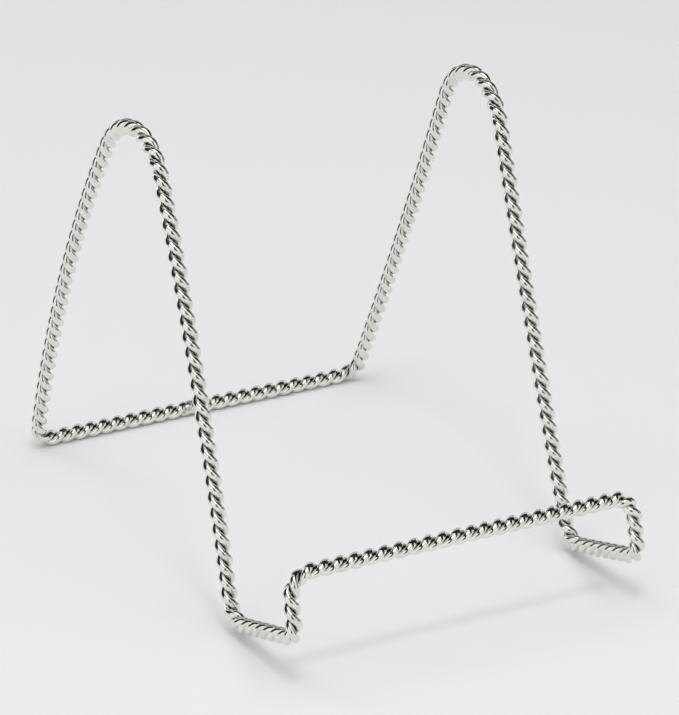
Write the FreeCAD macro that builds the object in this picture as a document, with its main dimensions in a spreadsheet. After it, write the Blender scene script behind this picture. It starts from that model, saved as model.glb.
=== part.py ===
import FreeCAD, Part
import Sketcher
import math
import os

from FreeCAD import Placement, Rotation, Vector

# A tabletop stand for a small photo album, bent from one closed loop of twisted wire.
#
# Two round wires are laid up into a rope. The rope runs from a butt joint in the rear rail round
# the left side frame, along the front rail, round the right side frame and back to the joint.
# Each side frame is an A whose front leg ends in a short foot and an upright lip: the album
# stands on the two feet, leans on the two front legs and is kept from sliding off by the lips
# and the front rail. Each strand is divided where the rope goes from one run to the next, and
# the cut faces of neighbouring lengths meet exactly.
#
# X runs across the stand, +Y to the back and +Z up. The origin is on the table, in the middle
# of the stand's footprint. Lengths are in millimetres and angles in degrees.

doc = FreeCAD.newDocument("photo_album_stand")

# ---------------------------------------------------------------- driving dimensions

SIZES = [
    ("wire_diameter", 3.0, "each of the two strands"),
    ("strand_clearance", 0.04, "between the strands, so that they touch without overlapping"),
    ("twist_pitch", 11.3, "rope length for one whole turn of a strand"),
    ("start_twist", 0.0, "angle of the first strand at the butt joint"),
    ("stand_width", 137.0, "between the centrelines of the side frames"),
    ("stand_depth", 165.9, "from the front corners to the rear corners"),
    ("joint_offset", -3.8, "butt joint from the middle of the rear rail"),
    ("joint_length", 5.0, "gap between the strand ends that the butt joint fills"),
    ("joint_diameter", 6.0, "thickness of the butt joint at its middle"),
    ("joint_end_diameter", 5.5, "thickness of the butt joint at its ends"),
    ("rear_corner_radius", 7.0, "centreline bend from the rear rail into a back leg"),
    ("front_corner_radius", 8.0, "centreline bend from a front leg into its foot"),
    ("lip_foot_radius", 5.5, "centreline bend from a foot up into its lip"),
    ("foot_length", 50.5, "from the front leg to the lip, corner to corner"),
    ("foot_rise", 18.7, "slope of the foot, up towards the front"),
    ("crest_rise", 7.8, "slope where the wide and the tight arc of a top bend meet"),
    ("left_back_lean_low", 16.2, "lean of the left back leg at the table"),
    ("left_back_lean_high", 33.9, "lean of the left back leg at the top bend"),
    ("left_front_lean_high", 24.7, "lean of the left front leg at the top bend"),
    ("left_front_lean_low", 16.35, "lean of the left front leg at the table"),
    ("left_wide_radius", 32.3, "rear arc of the left top bend"),
    ("left_tight_radius", 20.9, "front arc of the left top bend"),
    ("left_lip_length", 22.6, "from the left foot to the front rail, corner to corner"),
    ("left_lip_lean", 13.5, "lean of the left lip, back from upright"),
    ("left_lip_top_radius", 8.5, "centreline bend from the left lip into the front rail"),
    ("right_back_lean_low", 27.7, "lean of the right back leg at the table"),
    ("right_back_lean_high", 23.7, "lean of the right back leg at the top bend"),
    ("right_front_lean_high", 20.0, "lean of the right front leg at the top bend"),
    ("right_front_lean_low", 23.4, "lean of the right front leg at the table"),
    ("right_wide_radius", 24.4, "rear arc of the right top bend"),
    ("right_tight_radius", 19.8, "front arc of the right top bend"),
    ("right_lip_length", 22.3, "from the right foot to the front rail, corner to corner"),
    ("right_lip_lean", 16.5, "lean of the right lip, back from upright"),
    ("right_lip_top_radius", 7.5, "centreline bend from the right lip into the front rail"),
]

sheet = doc.addObject("Spreadsheet::Sheet", "Sizes")
for row, (alias, value, meaning) in enumerate(SIZES, start=1):
    sheet.set(f"A{row}", alias)
    sheet.set(f"B{row}", str(value))
    sheet.set(f"C{row}", meaning)
    sheet.setAlias(f"B{row}", alias)
doc.recompute()


def size(alias):
    """The value of one driving dimension."""
    return float(sheet.get(alias))


ALONG_ROPE = Vector(0, 0, 1)
STRAND_ORBIT = (size("wire_diameter") + size("strand_clearance")) / 2
ROPE_RADIUS = STRAND_ORBIT + size("wire_diameter") / 2

# ---------------------------------------------------------------- the rope's centreline


OUTWARD = {"left": Vector(-1, 0, 0), "right": Vector(1, 0, 0)}


def heading(angle):
    """The direction at an angle in the plane of a side frame: 0 is to the back and 90 is up."""
    turn = math.radians(angle)
    return Vector(0, math.cos(turn), math.sin(turn))


def corner_cut(radius, turn):
    """How far from its corner point a bend starts."""
    return radius * math.tan(math.radians(turn) / 2)


def arc_length(radius, turn):
    return radius * math.radians(turn)


def chord(first, last):
    """The straight-line travel of an evenly curved stretch, for each millimetre of its length."""
    half = math.radians(last - first) / 2
    return heading((first + last) / 2) * (math.sin(half) / half)


def lip(side):
    """From the corner at a lip's foot to the corner at its top."""
    return heading(90 - size(f"{side}_lip_lean")) * size(f"{side}_lip_length")


def front_rail_line():
    """From the corner at the top of the left lip to the corner at the top of the right one."""
    return OUTWARD["right"] * size("stand_width") + lip("right") - lip("left")


def lip_top(side):
    """The bend at the top of a lip: the front rail's direction, away from the lip, and how far
    the rope turns."""
    rail = front_rail_line().normalize() * (1 if side == "left" else -1)
    return rail, math.degrees(lip(side).getAngle(rail))


def side_frame(side):
    """A side frame's stretches from the rear rail to the front rail: the section that each one
    belongs to, the directions at its two ends and its length. The legs are as long as it takes
    for both lower corners to stand on the table."""
    low = 90 + size(f"{side}_back_lean_low")
    high = 90 + size(f"{side}_back_lean_high")
    crest = 180 - size("crest_rise")
    over = 270 - size(f"{side}_front_lean_high")
    down = 270 - size(f"{side}_front_lean_low")
    foot = 180 - size("foot_rise")
    up_lip = 90 - size(f"{side}_lip_lean")
    rail, rail_turn = lip_top(side)
    top_radius = size(f"{side}_lip_top_radius")

    wide = arc_length(size(f"{side}_wide_radius"), crest - high)
    tight = arc_length(size(f"{side}_tight_radius"), over - crest)
    front_cut = corner_cut(size("front_corner_radius"), down - foot)
    lip_cut = corner_cut(size("lip_foot_radius"), foot - up_lip)

    legs = heading(180) * size("stand_depth")
    legs -= heading(low) * corner_cut(size("rear_corner_radius"), 90)
    legs -= chord(high, crest) * wide + chord(crest, over) * tight
    legs -= heading(down) * front_cut
    back, front = chord(low, high), chord(over, down)
    spread = back.y * front.z - back.z * front.y
    back_leg = (legs.y * front.z - legs.z * front.y) / spread
    front_leg = (back.y * legs.z - back.z * legs.y) / spread
    foot_run = size("foot_length") - front_cut - lip_cut
    lip_run = lip(side).Length - lip_cut - corner_cut(top_radius, rail_turn)

    outward = OUTWARD[side]
    rear_corner = arc_length(size("rear_corner_radius"), 90)
    front_corner = arc_length(size("front_corner_radius"), down - foot)
    lip_foot = arc_length(size("lip_foot_radius"), foot - up_lip)
    return [
        (f"rear_rail_{side}", outward, heading(low), rear_corner),
        (f"{side}_back_leg", heading(low), heading(high), back_leg),
        (f"{side}_top_bend", heading(high), heading(crest), wide),
        (f"{side}_top_bend", heading(crest), heading(over), tight),
        (f"{side}_front_leg", heading(over), heading(down), front_leg),
        (f"{side}_foot", heading(down), heading(foot), front_corner),
        (f"{side}_foot", heading(foot), heading(foot), foot_run),
        (f"{side}_lip", heading(foot), heading(up_lip), lip_foot),
        (f"{side}_lip", heading(up_lip), heading(up_lip), lip_run),
        ("front_rail", heading(up_lip), rail, arc_length(top_radius, rail_turn)),
    ]


def centreline(rear_y):
    """The whole loop of rope from the butt joint round to the butt joint, as a list of stretches
    that each know where they start and how they turn. rear_y is where the rear rail lies."""
    to_left = OUTWARD["left"]
    offset = size("joint_offset")
    rear_half = size("stand_width") / 2 - corner_cut(size("rear_corner_radius"), 90)
    front_run = front_rail_line().Length
    for side in OUTWARD:
        rail, rail_turn = lip_top(side)
        front_run -= corner_cut(size(f"{side}_lip_top_radius"), rail_turn)
    right_frame = [
        (section, last * -1, first * -1, length)
        for section, first, last, length in reversed(side_frame("right"))
    ]
    order = [
        ("rear_rail_left", to_left, to_left, rear_half + offset),
        *side_frame("left"),
        ("front_rail", lip_top("left")[0], lip_top("left")[0], front_run),
        *right_frame,
        ("rear_rail_right", to_left, to_left, rear_half - offset),
    ]
    here = Placement(Vector(offset, rear_y, ROPE_RADIUS), Rotation(ALONG_ROPE, to_left))
    stretches = []
    for section, first, last, length in order:
        turn = 0.0 if first == last else math.degrees(first.getAngle(last))
        axis = first.cross(last).normalize() if turn else ALONG_ROPE
        stretch = {"section": section, "start": here, "length": length, "turn": turn, "axis": axis}
        stretches.append(stretch)
        here = along(stretch, length)
    return stretches


def along(stretch, distance):
    """The rope's placement on a stretch. Its Z axis points the way that the rope runs."""
    start = stretch["start"]
    direction = start.Rotation.multVec(ALONG_ROPE)
    if not stretch["turn"]:
        return Placement(start.Base + direction * distance, start.Rotation)
    radius = stretch["length"] / math.radians(stretch["turn"])
    centre = start.Base + stretch["axis"].cross(direction) * radius
    swing = Rotation(stretch["axis"], stretch["turn"] * distance / stretch["length"])
    return Placement(Vector(), swing, centre).multiply(start)


def furthest_forward(stretches):
    """The lowest Y of the centreline, which is on the bends at the front of the feet."""
    steps = 24
    return min(
        along(stretch, stretch["length"] * step / steps).Base.y
        for stretch in stretches
        for step in range(steps + 1)
    )


LOOP = centreline(-furthest_forward(centreline(0)) / 2)

# ---------------------------------------------------------------- the two strands

POINTS_PER_TURN = 8
STRANDS = {"a": 0.0, "b": 180.0}


def loop_position(distance):
    """The stretch of the loop at a distance from the butt joint, and how far along it that is."""
    for stretch in LOOP[:-1]:
        if distance <= stretch["length"]:
            return stretch, distance
        distance -= stretch["length"]
    return LOOP[-1], distance


def strand_point(distance, phase):
    """The centre of a strand at a distance round the loop. The lay is left-handed."""
    rope = along(*loop_position(distance))
    angle = math.radians(size("start_twist") + phase - 360 * distance / size("twist_pitch"))
    return rope.multVec(Vector(math.cos(angle), math.sin(angle), 0) * STRAND_ORBIT)


def strand_direction(distance, phase):
    """How far a strand's centre moves, and which way, for each millimetre of rope."""
    near = 0.01
    before, after = strand_point(distance - near, phase), strand_point(distance + near, phase)
    return (after - before) / (2 * near)


def section_spans():
    """The distances round the loop at which each section starts and ends."""
    spans = {}
    reached = 0.0
    for stretch in LOOP:
        first = spans.get(stretch["section"], (reached, reached))[0]
        reached += stretch["length"]
        spans[stretch["section"]] = (first, reached)
    return spans


def strand_path(first, last, phase):
    """The smooth curve that a strand's centre follows between two distances round the loop, as
    a wire with an edge for each turn of the strand."""
    turns = math.ceil((last - first) / size("twist_pitch"))
    steps = turns * POINTS_PER_TURN
    distances = [first + (last - first) * step / steps for step in range(steps + 1)]
    curve = Part.BSplineCurve()
    curve.interpolate(
        Points=[strand_point(distance, phase) for distance in distances],
        Parameters=distances,
        InitialTangent=strand_direction(first, phase),
        FinalTangent=strand_direction(last, phase),
        Scale=False,
    )
    ends = distances[::POINTS_PER_TURN]
    return Part.Wire([curve.toShape(*span) for span in zip(ends, ends[1:])])


def swept_strand(name, first, last, phase):
    """A round wire swept along its strand's curve."""
    path = doc.addObject("Part::Feature", f"{name}_path")
    path.Shape = strand_path(first, last, phase)
    section = doc.addObject("Part::Circle", f"{name}_section")
    section.setExpression("Radius", "Sizes.wire_diameter / 2")
    section.Placement = Placement(
        strand_point(first, phase), Rotation(ALONG_ROPE, strand_direction(first, phase))
    )
    strand = doc.addObject("Part::Sweep", name)
    strand.Sections = [section]
    strand.Spine = (path, [f"Edge{number}" for number in range(1, len(path.Shape.Edges) + 1)])
    strand.Solid = True
    strand.Frenet = True
    return strand


def joint_gap():
    """The space between the strand ends, which are sawn off square to the rear rail."""
    gap = doc.addObject("Part::Box", "joint_gap")
    gap.setExpression("Length", "Sizes.joint_length")
    gap.setExpression("Width", "Sizes.wire_diameter * 4")
    gap.setExpression("Height", "Sizes.wire_diameter * 4")
    doc.recompute()
    middle = Vector(gap.Length, gap.Width, gap.Height) / 2
    gap.Placement = Placement(LOOP[0]["start"].Base - middle, Rotation())
    return gap


def sawn_off(strand, gap):
    """A strand that ends flat at the butt joint."""
    strand.Label = f"{strand.Name}_uncut"
    cut = doc.addObject("Part::Cut", f"{strand.Name}_sawn")
    cut.Base = strand
    cut.Tool = gap
    return cut


def make_strands():
    """Every length of both strands, as objects of the document."""
    gap = joint_gap()
    lengths = []
    for letter, phase in STRANDS.items():
        for section, (first, last) in section_spans().items():
            name = f"{section}_strand_{letter}"
            length = swept_strand(name, first, last, phase)
            if section.startswith("rear_rail"):
                length = sawn_off(length, gap)
            length.Label = name
            lengths.append(length)
    return lengths


# ---------------------------------------------------------------- the butt joint


def make_butt_joint():
    """The filler metal between the strand ends: a short barrel, turned about the rail's line."""
    body = doc.addObject("PartDesign::Body", "butt_joint")
    body.Label = "butt_joint"
    body.Placement = Placement(LOOP[0]["start"].Base, Rotation())
    upright = next(plane for plane in body.Origin.OriginFeatures if plane.Role == "XZ_Plane")
    outline = body.newObject("Sketcher::SketchObject", "butt_joint_outline")
    outline.AttachmentSupport = (upright, [""])
    outline.MapMode = "FlatFace"

    half = size("joint_length") / 2
    end_radius = size("joint_end_diameter") / 2
    middle_radius = size("joint_diameter") / 2
    corners = [
        Vector(-half, 0, 0),
        Vector(half, 0, 0),
        Vector(half, end_radius, 0),
        Vector(-half, end_radius, 0),
    ]
    axis_line, right_end, left_end = (
        outline.addGeometry(Part.LineSegment(corners[start], corners[finish]))
        for start, finish in ((0, 1), (1, 2), (3, 0))
    )
    crown = outline.addGeometry(Part.Arc(corners[2], Vector(0, middle_radius, 0), corners[3]))
    join = Sketcher.Constraint
    outline.addConstraint([
        join("Coincident", axis_line, 2, right_end, 1),
        join("Coincident", right_end, 2, crown, 1),
        join("Coincident", crown, 2, left_end, 1),
        join("Coincident", left_end, 2, axis_line, 1),
        join("Symmetric", axis_line, 1, axis_line, 2, -1, 1),
        join("Horizontal", axis_line),
        join("Vertical", right_end),
        join("Equal", right_end, left_end),
    ])
    span = outline.addConstraint(join("DistanceX", axis_line, 1, axis_line, 2, 2 * half))
    thick = outline.addConstraint(join("DistanceY", right_end, 1, right_end, 2, end_radius))
    rise = middle_radius - end_radius
    round_off = outline.addConstraint(join("Radius", crown, (half**2 + rise**2) / (2 * rise)))
    outline.setExpression(f"Constraints[{span}]", "Sizes.joint_length")
    outline.setExpression(f"Constraints[{thick}]", "Sizes.joint_end_diameter / 2")
    crown_rise = "(Sizes.joint_diameter - Sizes.joint_end_diameter)"
    outline.setExpression(
        f"Constraints[{round_off}]", f"Sizes.joint_length ^ 2 / 4 / {crown_rise} + {crown_rise} / 4"
    )

    barrel = body.newObject("PartDesign::Revolution", "butt_joint_barrel")
    barrel.Profile = outline
    barrel.ReferenceAxis = (outline, ["H_Axis"])
    barrel.Angle = 360
    return body


# ---------------------------------------------------------------- checks and files

sub_parts = make_strands() + [make_butt_joint()]
doc.recompute()

for thing in doc.Objects:
    if {"Invalid", "Error"} & set(thing.State):
        raise RuntimeError(f"{thing.Label} did not compute: {thing.State}")

os.makedirs("parts", exist_ok=True)
for sub_part in sub_parts:
    shape = sub_part.Shape
    if shape.isNull() or not shape.isValid() or len(shape.Solids) != 1:
        raise RuntimeError(f"{sub_part.Label} is not one sound solid")
    shape.exportStep(f"parts/{sub_part.Label}.step")
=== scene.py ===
import math

import bpy
from mathutils import Matrix, Vector, noise


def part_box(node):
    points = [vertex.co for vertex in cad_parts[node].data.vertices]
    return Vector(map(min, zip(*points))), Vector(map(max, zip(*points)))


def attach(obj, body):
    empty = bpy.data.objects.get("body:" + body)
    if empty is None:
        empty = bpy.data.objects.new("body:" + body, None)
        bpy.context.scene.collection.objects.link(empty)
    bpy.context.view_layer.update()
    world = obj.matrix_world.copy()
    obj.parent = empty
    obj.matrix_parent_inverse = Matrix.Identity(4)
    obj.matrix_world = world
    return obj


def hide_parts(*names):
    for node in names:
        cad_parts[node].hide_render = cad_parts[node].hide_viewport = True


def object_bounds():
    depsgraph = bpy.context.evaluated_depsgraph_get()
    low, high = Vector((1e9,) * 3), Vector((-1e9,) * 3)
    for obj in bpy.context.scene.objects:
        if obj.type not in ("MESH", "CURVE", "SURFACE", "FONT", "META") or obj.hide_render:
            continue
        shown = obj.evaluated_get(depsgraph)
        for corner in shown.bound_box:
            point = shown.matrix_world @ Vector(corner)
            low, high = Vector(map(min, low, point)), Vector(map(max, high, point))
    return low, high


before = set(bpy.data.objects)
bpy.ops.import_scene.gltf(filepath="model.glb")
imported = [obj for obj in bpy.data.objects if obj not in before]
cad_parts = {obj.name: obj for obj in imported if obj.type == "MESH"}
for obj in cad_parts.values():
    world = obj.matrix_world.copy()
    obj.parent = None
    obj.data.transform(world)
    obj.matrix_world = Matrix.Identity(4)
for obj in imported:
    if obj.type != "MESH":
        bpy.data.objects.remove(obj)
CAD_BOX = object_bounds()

# A stand for a small photo album, bent from one closed loop of bright-plated twisted wire. Each
# strand is one continuous wire here, from the butt joint in the rear rail round both side frames
# and back to it, and so stands for all the lengths that the CAD model divides it into.
# Lengths are in metres and angles in degrees, in the CAD model's frame.

# ---------------------------------------------------------------- the CAD model's sizes

# These are the CAD model's driving dimensions. A lean is measured from upright and a rise from
# level. A top bend is a wide arc at the rear and a tight one at the front, which meet at the
# crest.
WIRE_RADIUS = 0.0015
STRAND_CLEARANCE = 0.00004
STRAND_ORBIT = WIRE_RADIUS + STRAND_CLEARANCE / 2
ROPE_RADIUS = STRAND_ORBIT + WIRE_RADIUS
TWIST_PITCH = 0.0113
START_TWIST = 0.0

STAND_WIDTH = 0.137
STAND_DEPTH = 0.1659
JOINT_OFFSET = -0.0038
JOINT_LENGTH = 0.005

REAR_CORNER_RADIUS = 0.007
FRONT_CORNER_RADIUS = 0.008
LIP_FOOT_RADIUS = 0.0055
FOOT_LENGTH = 0.0505
FOOT_RISE = 18.7
CREST_RISE = 7.8

SIDES = {
    "left": {
        "outward": Vector((-1, 0, 0)),
        "back_lean_low": 16.2,
        "back_lean_high": 33.9,
        "front_lean_high": 24.7,
        "front_lean_low": 16.35,
        "wide_radius": 0.0323,
        "tight_radius": 0.0209,
        "lip_length": 0.0226,
        "lip_lean": 13.5,
        "lip_top_radius": 0.0085,
    },
    "right": {
        "outward": Vector((1, 0, 0)),
        "back_lean_low": 27.7,
        "back_lean_high": 23.7,
        "front_lean_high": 20.0,
        "front_lean_low": 23.4,
        "wide_radius": 0.0244,
        "tight_radius": 0.0198,
        "lip_length": 0.0223,
        "lip_lean": 16.5,
        "lip_top_radius": 0.0075,
    },
}

SIDE_SECTIONS = ("back_leg", "top_bend", "front_leg", "foot", "lip")
SECTIONS = (
    ["rear_rail_left"]
    + [f"left_{part}" for part in SIDE_SECTIONS]
    + ["front_rail"]
    + [f"right_{part}" for part in SIDE_SECTIONS]
    + ["rear_rail_right"]
)

# ---------------------------------------------------------------- the rope's centreline


def heading(angle):
    """The direction at an angle in the plane of a side frame: 0 is to the back and 90 is up."""
    turn = math.radians(angle)
    return Vector((0, math.cos(turn), math.sin(turn)))


def corner_cut(radius, turn):
    """How far from its corner point a bend starts."""
    return radius * math.tan(math.radians(turn) / 2)


def arc_length(radius, turn):
    return radius * math.radians(turn)


def chord(first, last):
    """The straight-line travel of an evenly curved stretch, for each metre of its length."""
    half = math.radians(last - first) / 2
    return heading((first + last) / 2) * (math.sin(half) / half)


def lip(side):
    """From the corner at a lip's foot to the corner at its top."""
    return heading(90 - side["lip_lean"]) * side["lip_length"]


def front_rail_from(near, far):
    """From the corner at the top of one side's lip to the corner at the top of the other's."""
    return far["outward"] * STAND_WIDTH + lip(far) - lip(near)


def side_frame(name, side, other):
    """A side frame's stretches from the rear rail to the front rail, each as its section, the
    directions at its two ends and its length. The lengths of the two legs are those that bring
    both lower corners down to the table, one stand depth apart."""
    low = 90 + side["back_lean_low"]
    high = 90 + side["back_lean_high"]
    crest = 180 - CREST_RISE
    over = 270 - side["front_lean_high"]
    down = 270 - side["front_lean_low"]
    foot = 180 - FOOT_RISE
    up_lip = 90 - side["lip_lean"]
    rail = front_rail_from(side, other).normalized()
    rail_turn = math.degrees(heading(up_lip).angle(rail))

    wide = arc_length(side["wide_radius"], crest - high)
    tight = arc_length(side["tight_radius"], over - crest)
    front_cut = corner_cut(FRONT_CORNER_RADIUS, down - foot)
    lip_cut = corner_cut(LIP_FOOT_RADIUS, foot - up_lip)

    legs = heading(180) * STAND_DEPTH
    legs -= heading(low) * corner_cut(REAR_CORNER_RADIUS, 90)
    legs -= chord(high, crest) * wide + chord(crest, over) * tight
    legs -= heading(down) * front_cut
    back, front = chord(low, high), chord(over, down)
    spread = back.y * front.z - back.z * front.y
    back_leg = (legs.y * front.z - legs.z * front.y) / spread
    front_leg = (back.y * legs.z - back.z * legs.y) / spread
    foot_run = FOOT_LENGTH - front_cut - lip_cut
    lip_run = side["lip_length"] - lip_cut - corner_cut(side["lip_top_radius"], rail_turn)

    outward = side["outward"]
    front_corner = arc_length(FRONT_CORNER_RADIUS, down - foot)
    lip_foot = arc_length(LIP_FOOT_RADIUS, foot - up_lip)
    return [
        (f"rear_rail_{name}", outward, heading(low), arc_length(REAR_CORNER_RADIUS, 90)),
        (f"{name}_back_leg", heading(low), heading(high), back_leg),
        (f"{name}_top_bend", heading(high), heading(crest), wide),
        (f"{name}_top_bend", heading(crest), heading(over), tight),
        (f"{name}_front_leg", heading(over), heading(down), front_leg),
        (f"{name}_foot", heading(down), heading(foot), front_corner),
        (f"{name}_foot", heading(foot), heading(foot), foot_run),
        (f"{name}_lip", heading(foot), heading(up_lip), lip_foot),
        (f"{name}_lip", heading(up_lip), heading(up_lip), lip_run),
        ("front_rail", heading(up_lip), rail, arc_length(side["lip_top_radius"], rail_turn)),
    ]


def along(stretch, distance):
    """The rope's frame on a stretch, as a matrix whose Z axis points the way that it runs."""
    start = stretch["start"]
    direction = start.to_3x3().col[2]
    if not stretch["turn"]:
        return Matrix.Translation(direction * distance) @ start
    radius = stretch["length"] / stretch["turn"]
    centre = start.translation + stretch["axis"].cross(direction) * radius
    swing = Matrix.Rotation(distance / radius, 4, stretch["axis"])
    return Matrix.Translation(centre) @ swing @ Matrix.Translation(-centre) @ start


def centreline():
    """The whole loop of rope from the middle of the butt joint round to it again, as stretches
    that each know where they start and how they turn. It starts where the CAD model's butt joint
    is, and the right side frame is walked backwards, from the front rail to the rear rail."""
    left, right = SIDES["left"], SIDES["right"]
    to_left = left["outward"]
    rear_half = STAND_WIDTH / 2 - corner_cut(REAR_CORNER_RADIUS, 90)
    left_frame = side_frame("left", left, right)
    right_frame = [
        (section, -last, -first, length)
        for section, first, last, length in reversed(side_frame("right", right, left))
    ]
    rail = front_rail_from(left, right)
    front_run = rail.length
    for side, onward in ((left, rail), (right, -rail)):
        turn = math.degrees(lip(side).angle(onward))
        front_run -= corner_cut(side["lip_top_radius"], turn)
    rail.normalize()
    order = [
        ("rear_rail_left", to_left, to_left, rear_half + JOINT_OFFSET),
        *left_frame,
        ("front_rail", rail, rail, front_run),
        *right_frame,
        ("rear_rail_right", to_left, to_left, rear_half - JOINT_OFFSET),
    ]
    joint_low, joint_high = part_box("butt_joint")
    facing_left = Vector((0, 0, 1)).rotation_difference(to_left).to_matrix().to_4x4()
    here = Matrix.Translation((joint_low + joint_high) / 2) @ facing_left
    stretches = []
    for section, first, last, length in order:
        stretch = {
            "section": section,
            "start": here,
            "length": length,
            "turn": 0.0 if first == last else first.angle(last),
            "axis": first.cross(last).normalized(),
        }
        stretches.append(stretch)
        here = along(stretch, length)
    return stretches


LOOP = centreline()
LOOP_LENGTH = sum(stretch["length"] for stretch in LOOP)


def rope_frame(distance):
    """The rope's frame at a distance round the loop from the butt joint."""
    for stretch in LOOP[:-1]:
        if distance <= stretch["length"]:
            return along(stretch, distance)
        distance -= stretch["length"]
    return along(LOOP[-1], distance)


# How far the lay has slipped along the rope by the middle of each run. The rope was bent by hand
# after it was laid up, and the slip changes evenly from one middle to the next.
LAY_SLIP = {
    "rear_rail_left": 0.003,
    "left_back_leg": 0.002,
    "left_top_bend": 0.009,
    "left_front_leg": 0.010,
    "left_foot": 0.012,
    "left_lip": 0.014,
    "front_rail": 0.016,
    "right_foot": 0.011,
    "right_front_leg": 0.012,
    "right_top_bend": 0.013,
    "right_back_leg": 0.013,
    "rear_rail_right": 0.014,
}


def middle_of(section):
    """The distance round the loop to the middle of a section."""
    sections = [stretch["section"] for stretch in LOOP]
    lengths = [stretch["length"] for stretch in LOOP]
    first = sections.index(section)
    after = first + sections.count(section)
    return sum(lengths[:first]) + sum(lengths[first:after]) / 2


LAY_STEPS = [(middle_of(section), slip) for section, slip in LAY_SLIP.items()]


def lay_slip(distance):
    """How far the lay has slipped at a distance round the loop."""
    for (start, slip), (end, next_slip) in zip(LAY_STEPS, LAY_STEPS[1:]):
        if start <= distance < end:
            return slip + (next_slip - slip) * (distance - start) / (end - start)
    return LAY_STEPS[0][1] if distance < LAY_STEPS[0][0] else LAY_STEPS[-1][1]


def twist_angle(distance, phase):
    """The angle of a strand round the rope's line. The lay is left-handed."""
    turns = (distance - lay_slip(distance)) / TWIST_PITCH
    return math.radians(START_TWIST + phase - 360 * turns)


# ---------------------------------------------------------------- meshes


def tube_faces(rings, sides):
    """Quads between successive rings of points, and a flat cap on each end."""
    faces = []
    for ring in range(rings - 1):
        here, there = ring * sides, (ring + 1) * sides
        for side in range(sides):
            after = (side + 1) % sides
            faces.append((here + side, here + after, there + after, there + side))
    last = (rings - 1) * sides
    faces.append(tuple(reversed(range(sides))))
    faces.append(tuple(range(last, last + sides)))
    return faces


def mesh_object(name, points, faces):
    mesh = bpy.data.meshes.new(name)
    mesh.from_pydata(points, [], faces)
    mesh.validate()
    mesh.shade_smooth()
    piece = bpy.data.objects.new(name, mesh)
    bpy.context.scene.collection.objects.link(piece)
    return piece


STRAIGHT = "straight_wire"


def store_straight(mesh, vectors):
    """Keeps a place for each point of a mesh as the wire would have it if it were straight."""
    attribute = mesh.attributes.new(STRAIGHT, "FLOAT_VECTOR", "POINT")
    attribute.data.foreach_set("vector", [number for vector in vectors for number in vector])


def round_the_axis(angle):
    """The direction at an angle round a rope's or a wire's own Z axis."""
    return Vector((math.cos(angle), math.sin(angle), 0))


RINGS_PER_TURN = 32
SIDES_OF_WIRE = 28
LOOK_AHEAD = TWIST_PITCH / 1000


def strand_place(distance, phase):
    """The centre of a strand at a distance round the loop, and the way out to it from the
    rope's line."""
    rope = rope_frame(distance)
    outward = rope.to_3x3() @ round_the_axis(twist_angle(distance, phase))
    return rope.translation + outward * STRAND_ORBIT, outward


def make_strand(name, phase):
    """One wire, wound round the rope's line from one side of the butt joint to the other."""
    first, last = JOINT_LENGTH / 2, LOOP_LENGTH - JOINT_LENGTH / 2
    rings = round((last - first) / TWIST_PITCH * RINGS_PER_TURN)
    points, straight = [], []
    run = 0.0
    before = None
    for ring in range(rings + 1):
        distance = first + (last - first) * ring / rings
        centre, outward = strand_place(distance, phase)
        ahead, _ = strand_place(distance + LOOK_AHEAD, phase)
        direction = (ahead - centre).normalized()
        side = direction.cross(outward).normalized()
        up = side.cross(direction)
        if before is not None:
            run += (centre - before).length
        before = centre
        for step in range(SIDES_OF_WIRE):
            turn = 2 * math.pi * step / SIDES_OF_WIRE
            across = up * math.cos(turn) + side * math.sin(turn)
            points.append(centre + across * WIRE_RADIUS)
            straight.append((math.cos(turn) * WIRE_RADIUS, math.sin(turn) * WIRE_RADIUS, run))
    piece = mesh_object(name, points, tube_faces(rings + 1, SIDES_OF_WIRE))
    store_straight(piece.data, straight)
    return piece


def lay_in_frame(distance, seat):
    """The angle of the first strand at a distance round the loop, as seen in another frame."""
    _, outward = strand_place(distance, 0)
    seen = seat.to_3x3().transposed() @ outward
    return math.atan2(seen.y, seen.x)


def strand_outline(turn):
    """How far out the pair of round strands reaches, at an angle from the line through them."""
    sine = math.sin(turn) * STRAND_ORBIT
    if abs(sine) >= WIRE_RADIUS:
        return 0.0
    return abs(math.cos(turn)) * STRAND_ORBIT + math.sqrt(WIRE_RADIUS**2 - sine**2)


def smooth_max(a, b, width):
    spread = max(width - abs(a - b), 0) / width
    return max(a, b) + spread**2 * width / 4


BEAD_HALF = 0.0040
BEAD_RINGS = 56
BEAD_SIDES = 72
FILLER_AT_ENDS = 0.0013
FILLER_SWELL = 0.0014
FILLER_FULLNESS = 0.6
FILLER_BLEND = 0.0005
STRAND_INSET = 0.00004
STRAND_FILED = 0.0001
LUMP_DEPTH = 0.00008
LUMPS_PER_METRE = 900
PITS_PER_METRE = 2100
PIT_SHARE = 0.6


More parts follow.
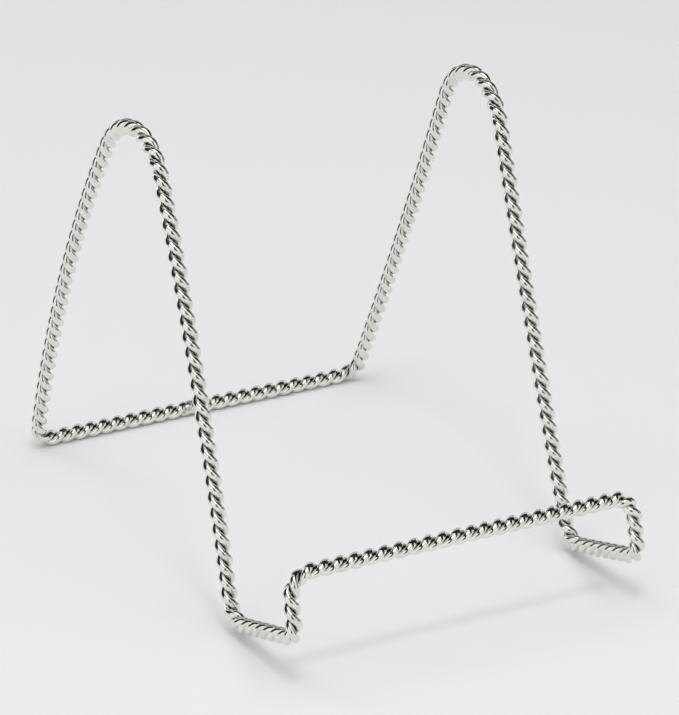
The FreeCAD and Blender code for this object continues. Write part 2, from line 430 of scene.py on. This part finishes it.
def make_bead(name):
    """The filler metal of the butt joint: it carries the strands' lay across the gap, fills the
    valleys between them and feathers out over the strand ends."""
    middle = LOOP[0]["start"]
    lay_after = twist_angle(BEAD_HALF, 0)
    lay_before = lay_in_frame(LOOP_LENGTH - BEAD_HALF, middle)
    expected = lay_after + 4 * math.pi * BEAD_HALF / TWIST_PITCH
    lay_before += math.pi * round((expected - lay_before) / math.pi)
    points, straight = [], []
    for ring in range(BEAD_RINGS + 1):
        distance = BEAD_HALF * (2 * ring / BEAD_RINGS - 1)
        lay = lay_before + (lay_after - lay_before) * ring / BEAD_RINGS
        fade = 1 - (distance / BEAD_HALF) ** 2
        filler = FILLER_AT_ENDS + FILLER_SWELL * fade**FILLER_FULLNESS
        for step in range(BEAD_SIDES):
            turn = 2 * math.pi * step / BEAD_SIDES
            lobe = strand_outline(turn - lay) - STRAND_INSET - STRAND_FILED * fade
            radius = smooth_max(lobe, filler, FILLER_BLEND)
            place = Vector((math.cos(turn) * radius, math.sin(turn) * radius, distance))
            lumps = noise.noise(place * LUMPS_PER_METRE)
            pits = noise.noise(place * PITS_PER_METRE)
            radius += LUMP_DEPTH * (lumps + PIT_SHARE * pits) * fade
            radius = min(radius, ROPE_RADIUS)
            spot = Vector((math.cos(turn) * radius, math.sin(turn) * radius, distance))
            points.append(middle @ spot)
            straight.append(spot)
    piece = mesh_object(name, points, tube_faces(BEAD_RINGS + 1, BEAD_SIDES))
    store_straight(piece.data, straight)
    return piece


strand_a = make_strand("strand_a", 0)
strand_b = make_strand("strand_b", 180)
bead = make_bead("butt_joint_bead")

# ---------------------------------------------------------------- materials


class Nodes:
    """A material's node tree, built with short calls."""

    def __init__(self, name):
        self.material = bpy.data.materials.new(name)
        self.material.use_nodes = True
        self.tree = self.material.node_tree
        self.shader = self.tree.nodes["Principled BSDF"]

    def add(self, kind, **settings):
        node = self.tree.nodes.new(kind)
        for key, value in settings.items():
            setattr(node, key, value)
        return node

    def link(self, source, target):
        self.tree.links.new(source, target)

    def stretched(self, source, scale):
        """Coordinates multiplied along each axis."""
        mapping = self.add("ShaderNodeMapping")
        mapping.inputs["Scale"].default_value = scale
        self.link(source, mapping.inputs["Vector"])
        return mapping.outputs["Vector"]

    def noise(self, place, scale, detail=2.0, roughness=0.5):
        node = self.add("ShaderNodeTexNoise")
        node.inputs["Scale"].default_value = scale
        node.inputs["Detail"].default_value = detail
        node.inputs["Roughness"].default_value = roughness
        self.link(place, node.inputs["Vector"])
        return node.outputs["Fac"]

    def range(self, value, low, high, to_low, to_high):
        node = self.add("ShaderNodeMapRange")
        node.inputs["From Min"].default_value = low
        node.inputs["From Max"].default_value = high
        node.inputs["To Min"].default_value = to_low
        node.inputs["To Max"].default_value = to_high
        self.link(value, node.inputs["Value"])
        return node.outputs["Result"]

    def mix(self, factor, first, second):
        """A colour between two, each either a plain colour or another node's output."""
        node = self.add("ShaderNodeMix", data_type="RGBA")
        sockets = [s for s in node.inputs if s.type == "RGBA"]
        for socket, colour in zip(sockets, (first, second)):
            if isinstance(colour, tuple):
                socket.default_value = (*colour, 1)
            else:
                self.link(colour, socket)
        self.link(factor, node.inputs["Factor"])
        return next(s for s in node.outputs if s.type == "RGBA")

    def bump(self, height, strength, distance, under=None):
        node = self.add("ShaderNodeBump")
        node.inputs["Strength"].default_value = strength
        node.inputs["Distance"].default_value = distance
        self.link(height, node.inputs["Height"])
        if under is not None:
            self.link(under, node.inputs["Normal"])
        return node.outputs["Normal"]

    def component(self, vector, axis):
        node = self.add("ShaderNodeSeparateXYZ")
        self.link(vector, node.inputs["Vector"])
        return node.outputs[axis]

    def attribute(self, name):
        return self.add("ShaderNodeAttribute", attribute_name=name).outputs["Vector"]

    def finish(self, colour, roughness, normal):
        """Makes the shader a bare metal with these three on it."""
        self.link(colour, self.shader.inputs["Base Color"])
        self.link(roughness, self.shader.inputs["Roughness"])
        self.link(normal, self.shader.inputs["Normal"])
        self.shader.inputs["Metallic"].default_value = 1.0


PLATE = (0.83, 0.835, 0.80)
TARNISH = (0.64, 0.645, 0.58)
# Painted shade: a dark colour laid into the valleys between the strands, where the wire faces the
# rope's middle.
PAINTED_VALLEY_SHADE = (0.28, 0.28, 0.24)
VALLEY_SHADE_STARTS = -0.2 * WIRE_RADIUS
VALLEY_SHADE_FULL = -0.85 * WIRE_RADIUS
DIE_LINES = (2600, 2600, 60)
DIE_LINE_DEPTH = 0.000005
RIPPLES = 900
RIPPLE_DEPTH = 0.00002
WIRE_PATCHES = 260

JOINT_PLATE = (0.82, 0.82, 0.79)
JOINT_TARNISH = (0.55, 0.55, 0.50)
JOINT_PITS = 1500
JOINT_PIT_DEPTH = 0.00012
JOINT_PATCHES = 600


def plated_wire(name):
    """Bright nickel plate over drawn wire: fine die lines along the wire, a soft ripple, a little
    tarnish where the plating is thin, and painted shade darkening the valleys between the
    strands.
    X of the straight wire is out from the rope's middle, so the valleys are where it is low."""
    nodes = Nodes(name)
    place = nodes.attribute(STRAIGHT)
    lines = nodes.noise(nodes.stretched(place, DIE_LINES), 1.0, 3.0)
    ripple = nodes.noise(place, RIPPLES, 2.0)
    patches = nodes.noise(place, WIRE_PATCHES, 3.0)
    outwards = nodes.component(place, "X")

    tarnish = nodes.range(patches, 0.45, 0.75, 0.0, 0.6)
    # Painted shade: the wire is darkened towards the valleys between the strands.
    valley_shade = nodes.range(outwards, VALLEY_SHADE_STARTS, VALLEY_SHADE_FULL, 0.0, 1.0)
    colour = nodes.mix(valley_shade, nodes.mix(tarnish, PLATE, TARNISH), PAINTED_VALLEY_SHADE)
    roughness = nodes.range(patches, 0.3, 0.7, 0.02, 0.06)
    rippled = nodes.bump(ripple, 0.15, RIPPLE_DEPTH)
    drawn = nodes.bump(lines, 0.1, DIE_LINE_DEPTH, rippled)
    nodes.finish(colour, roughness, drawn)
    return nodes.material


def plated_joint(name):
    """The same plate over rough filler: duller, pitted and mottled."""
    nodes = Nodes(name)
    place = nodes.attribute(STRAIGHT)
    pits = nodes.noise(place, JOINT_PITS, 4.0, 0.6)
    patches = nodes.noise(place, JOINT_PATCHES, 3.0)

    mottle = nodes.range(patches, 0.4, 0.65, 0.0, 1.0)
    colour = nodes.mix(mottle, JOINT_PLATE, JOINT_TARNISH)
    roughness = nodes.range(patches, 0.3, 0.7, 0.14, 0.32)
    nodes.finish(colour, roughness, nodes.bump(pits, 0.5, JOINT_PIT_DEPTH))
    return nodes.material


wire_material = plated_wire("plated_wire")
joint_material = plated_joint("plated_joint")
for strand in (strand_a, strand_b):
    strand.data.materials.append(wire_material)
bead.data.materials.append(joint_material)

for letter, strand in (("a", strand_a), ("b", strand_b)):
    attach(strand, "root")
    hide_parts(*[f"{section}_strand_{letter}" for section in SECTIONS])
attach(bead, "root")
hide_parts("butt_joint")

# ---------------------------------------------------------------- the studio

LOW, HIGH = CAD_BOX
MIDDLE = (LOW + HIGH) / 2

VIEW_AZIMUTH = math.radians(-28.00)
VIEW_ELEVATION = math.radians(24.72)
VIEW_ROLL = math.radians(0.49)
VIEW_DISTANCE = 1.7543
VIEW_TARGET = MIDDLE + Vector((0.0017, -0.0057, -0.0139))
LENS = 244.4
CLIP_END = 20


def make_camera():
    """A long lens at the photograph's angle, looking down a little on the front of the stand."""
    camera = bpy.data.objects.new("camera", bpy.data.cameras.new("camera"))
    bpy.context.scene.collection.objects.link(camera)
    turn = Matrix.Rotation(VIEW_AZIMUTH, 3, "Z")
    tilt = Matrix.Rotation(math.pi / 2 - VIEW_ELEVATION, 3, "X")
    facing = turn @ tilt @ Matrix.Rotation(VIEW_ROLL, 3, "Z")
    eye = VIEW_TARGET + facing.col[2] * VIEW_DISTANCE
    camera.matrix_world = Matrix.Translation(eye) @ facing.to_4x4()
    camera.data.lens = LENS
    camera.data.clip_end = CLIP_END
    bpy.context.scene.camera = camera


PAPER_DARK = (0.86, 0.865, 0.88)
PAPER_PALE = (0.88, 0.885, 0.90)
PAPER_GRAIN = 900
SHEET_SIDE = 0.55
SHEET_FRONT = 0.50
SHEET_BACK = 0.90
SHEET_THICKNESS = 0.001
TABLE_REACH = 3.0


def matt_paper():
    """Pale paper with a fine, faint grain."""
    nodes = Nodes("floor_paper")
    place = nodes.add("ShaderNodeTexCoord").outputs["Object"]
    grain = nodes.noise(place, PAPER_GRAIN, 3.0)
    nodes.link(nodes.mix(grain, PAPER_DARK, PAPER_PALE), nodes.shader.inputs["Base Color"])
    nodes.shader.inputs["Roughness"].default_value = 0.9
    nodes.shader.inputs["Specular IOR Level"].default_value = 0.2
    return nodes.material


def make_floor(name, material, side, front, back, height):
    """A level rectangle, squared up with the camera: how far it reaches to each side, to the
    front and to the back of the stand's middle."""
    turn = Matrix.Rotation(VIEW_AZIMUTH, 4, "Z")
    corners = [(-side, -front), (side, -front), (side, back), (-side, back)]
    points = [turn @ Vector((across, along_view, 0)) for across, along_view in corners]
    floor = mesh_object(name, points, [(0, 1, 2, 3)])
    floor.data.materials.append(material)
    floor.location.z = height
    return floor


def make_ground():
    """The sheet of paper, and the table under it, which looks the same and goes on beyond it.
    The table is left out of the wire's reflections: past the sheet they show the dark room."""
    paper = matt_paper()
    make_floor("floor", paper, SHEET_SIDE, SHEET_FRONT, SHEET_BACK, LOW.z)
    under = LOW.z - SHEET_THICKNESS
    table = make_floor("table_top", paper, TABLE_REACH, TABLE_REACH, TABLE_REACH, under)
    table.visible_glossy = False
    table.visible_diffuse = False
    table.visible_shadow = False


LIGHT_DISTANCE = 1.8
WHITE = (1.0, 1.0, 1.0)
WARM = (1.0, 0.99, 0.95)
COOL = (0.92, 0.95, 1.0)
ROOM = (0.025, 0.025, 0.025, 1)

# Each light's name, then its direction from the stand as a bearing round from the back and a
# height above the table, its half-width, half-height and tilt, all in degrees, how bright it
# looks, and its colour.
PANELS = [
    ("left_front_softbox", -115, 5, 25, 35, 15, 1.0, WHITE),
    ("left_strip", -35, 50, 4, 25, -5, 1.25, WHITE),
    ("left_board", -25, 0, 20, 25, -10, 1.0, WHITE),
    ("backdrop_board", 30, 10, 30, 35, 0, 0.55, WHITE),
    ("right_board", 65, -5, 10, 20, -20, 1.0, WHITE),
    ("right_strip", 110, 0, 5, 25, -5, 0.85, WHITE),
    ("right_front_softbox", 165, 10, 25, 35, -5, 0.85, WHITE),
    ("ceiling_bounce", -70, 70, 15, 5, 0, 0.4, WHITE),
]

# The key light is a softbox with a small lamp inside it. The wire reflects the softbox, and the
# lamp gives the shadows on the paper their shape. The ceiling's even glow isn't reflected either.
KEY_SOFTBOX = ("key_softbox", -165, 65, 20, 20, -25, 1.7, WARM)
KEY_LAMP = ("key_lamp", -160, 68, 4.5, 4.5, 0, 16.0, COOL)
CEILING_GLOW = ("ceiling_glow", -160, 82, 40, 40, 0, 1.32, WARM)


def make_light(name, bearing, height, half_width, half_height, tilt, brightness, colour):
    """A flat rectangular light that faces the stand."""
    light = bpy.data.lights.new(name, "AREA")
    light.shape = "RECTANGLE"
    light.size = 2 * LIGHT_DISTANCE * math.tan(math.radians(half_width))
    light.size_y = 2 * LIGHT_DISTANCE * math.tan(math.radians(half_height))
    light.energy = brightness * math.pi * light.size * light.size_y
    light.color = colour
    lamp = bpy.data.objects.new(name, light)
    bpy.context.scene.collection.objects.link(lamp)
    turn, rise = math.radians(bearing), math.radians(height)
    level = Vector((math.cos(turn), -math.sin(turn), 0))
    outward = Vector((
        math.sin(turn) * math.cos(rise),
        math.cos(turn) * math.cos(rise),
        math.sin(rise),
    ))
    upright = outward.cross(-level)
    facing = Matrix((-level, upright, outward)).transposed()
    turned = facing @ Matrix.Rotation(math.radians(-tilt), 3, "Z")
    lamp.matrix_world = Matrix.Translation(MIDDLE + outward * LIGHT_DISTANCE) @ turned.to_4x4()
    return lamp


def make_lights():
    for settings in PANELS:
        make_light(*settings)
    make_light(*KEY_SOFTBOX).visible_diffuse = False
    for settings in (KEY_LAMP, CEILING_GLOW):
        make_light(*settings).visible_glossy = False


def make_room():
    """The dark room round the studio."""
    world = bpy.data.worlds.new("studio")
    bpy.context.scene.world = world
    world.use_nodes = True
    background = world.node_tree.nodes["Background"]
    background.inputs["Color"].default_value = ROOM
    background.inputs["Strength"].default_value = 1.0


make_camera()
make_ground()
make_room()
make_lights()
bpy.context.scene.view_settings.view_transform = "Standard"
